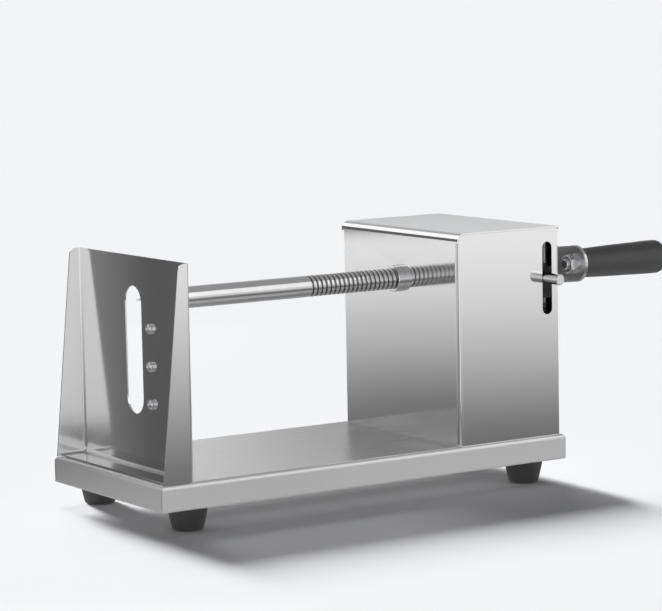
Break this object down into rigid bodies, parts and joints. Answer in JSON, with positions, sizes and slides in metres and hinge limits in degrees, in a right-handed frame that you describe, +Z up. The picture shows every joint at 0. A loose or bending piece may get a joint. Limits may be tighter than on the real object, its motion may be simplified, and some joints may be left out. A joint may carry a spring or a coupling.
{
  "type": "hand cranked tornado potato cutter",
  "caption": "Hand cranked spiral vegetable cutter: a threaded feed shaft with a crank pushes the work past a blade on an upright bracket.",
  "frame": {"origin": "on the floor, under the middle of the whole cutter's length and on its middle plane", "axes": "+X from the blade bracket to the crank, +Y to the side away from the crank's grip, +Z up"},
  "size_m": [0.4536, 0.189, 0.1961],
  "materials": {
    "satin_steel": "bright satin stainless sheet",
    "polished_steel": "polished stainless",
    "blade_steel": "ground and polished",
    "plated_steel": "bright plated",
    "crank_steel": "dark steel with bright rubbed edges",
    "bronze": "turned",
    "spring_steel": "drawn wire",
    "black_rubber": "moulded matt",
    "grip_plastic": "moulded, fine matt",
    "slide_plastic": "machined black acetal"
  },
  "bodies": {
    "stand": {"base_pan": "satin_steel", "foot_front_near": "black_rubber", "foot_front_far": "black_rubber", "foot_rear_near": "black_rubber", "foot_rear_far": "black_rubber", "foot_screws": "plated_steel", "foot_nuts": "plated_steel", "blade_bracket": "satin_steel", "bracket_nuts": "plated_steel", "blade": "blade_steel", "blade_screws": "plated_steel", "blade_nuts": "plated_steel", "housing_cover": "satin_steel", "side_panel_near": "satin_steel", "side_panel_far": "satin_steel", "housing_screws": "plated_steel", "housing_nuts": "plated_steel", "front_bush": "polished_steel", "rear_bush": "polished_steel", "guide_post_near": "plated_steel", "guide_post_far": "plated_steel", "post_bridge": "plated_steel", "post_nuts": "plated_steel", "bridge_nuts": "plated_steel", "spring_near": "spring_steel", "spring_far": "spring_steel"},
    "release_slide": {"nut_slide": "slide_plastic", "half_nut": "bronze", "half_nut_screws": "plated_steel", "release_pin_near": "polished_steel", "release_pin_far": "polished_steel"},
    "feed_carrier": {"thrust_washer": "slide_plastic"},
    "feed_screw": {"feed_shaft": "polished_steel", "fork_head": "polished_steel", "fork_prongs": "polished_steel", "fork_screw": "plated_steel", "crank_hub": "crank_steel", "hub_screw": "plated_steel", "crank_arm": "crank_steel", "crank_washer": "plated_steel", "crank_bolt": "plated_steel", "grip_spindle": "polished_steel", "grip_washer": "plated_steel", "grip_nut": "plated_steel"},
    "revolving_grip": {"grip": "grip_plastic"}
  },
  "joints": [
    {"name": "nut_release", "type": "slide", "parent": "stand", "child": "release_slide", "axis": [0, 0, -1], "range_m": [0, 0.02], "stiffness_N_per_m": 800, "springref_m": -0.012, "deforming": ["spring_near", "spring_far"]},
    {"name": "feed_travel", "type": "slide", "parent": "stand", "child": "feed_carrier", "axis": [1, 0, 0], "range_m": [0, 0.12]},
    {"name": "crank_turn", "type": "hinge", "parent": "feed_carrier", "child": "feed_screw", "pos_m": [0, 0, 0.157], "axis": [1, 0, 0], "range_deg": [0, 10800]},
    {"name": "grip_spin", "type": "hinge", "parent": "feed_screw", "child": "revolving_grip", "pos_m": [0.18, -0.0755, 0.16573], "axis": [1, 0, 0], "continuous": true}
  ],
  "couplings": [
    {"joint": "feed_travel", "follows": "crank_turn", "m_per_rad": 0.0006366}
  ]
}
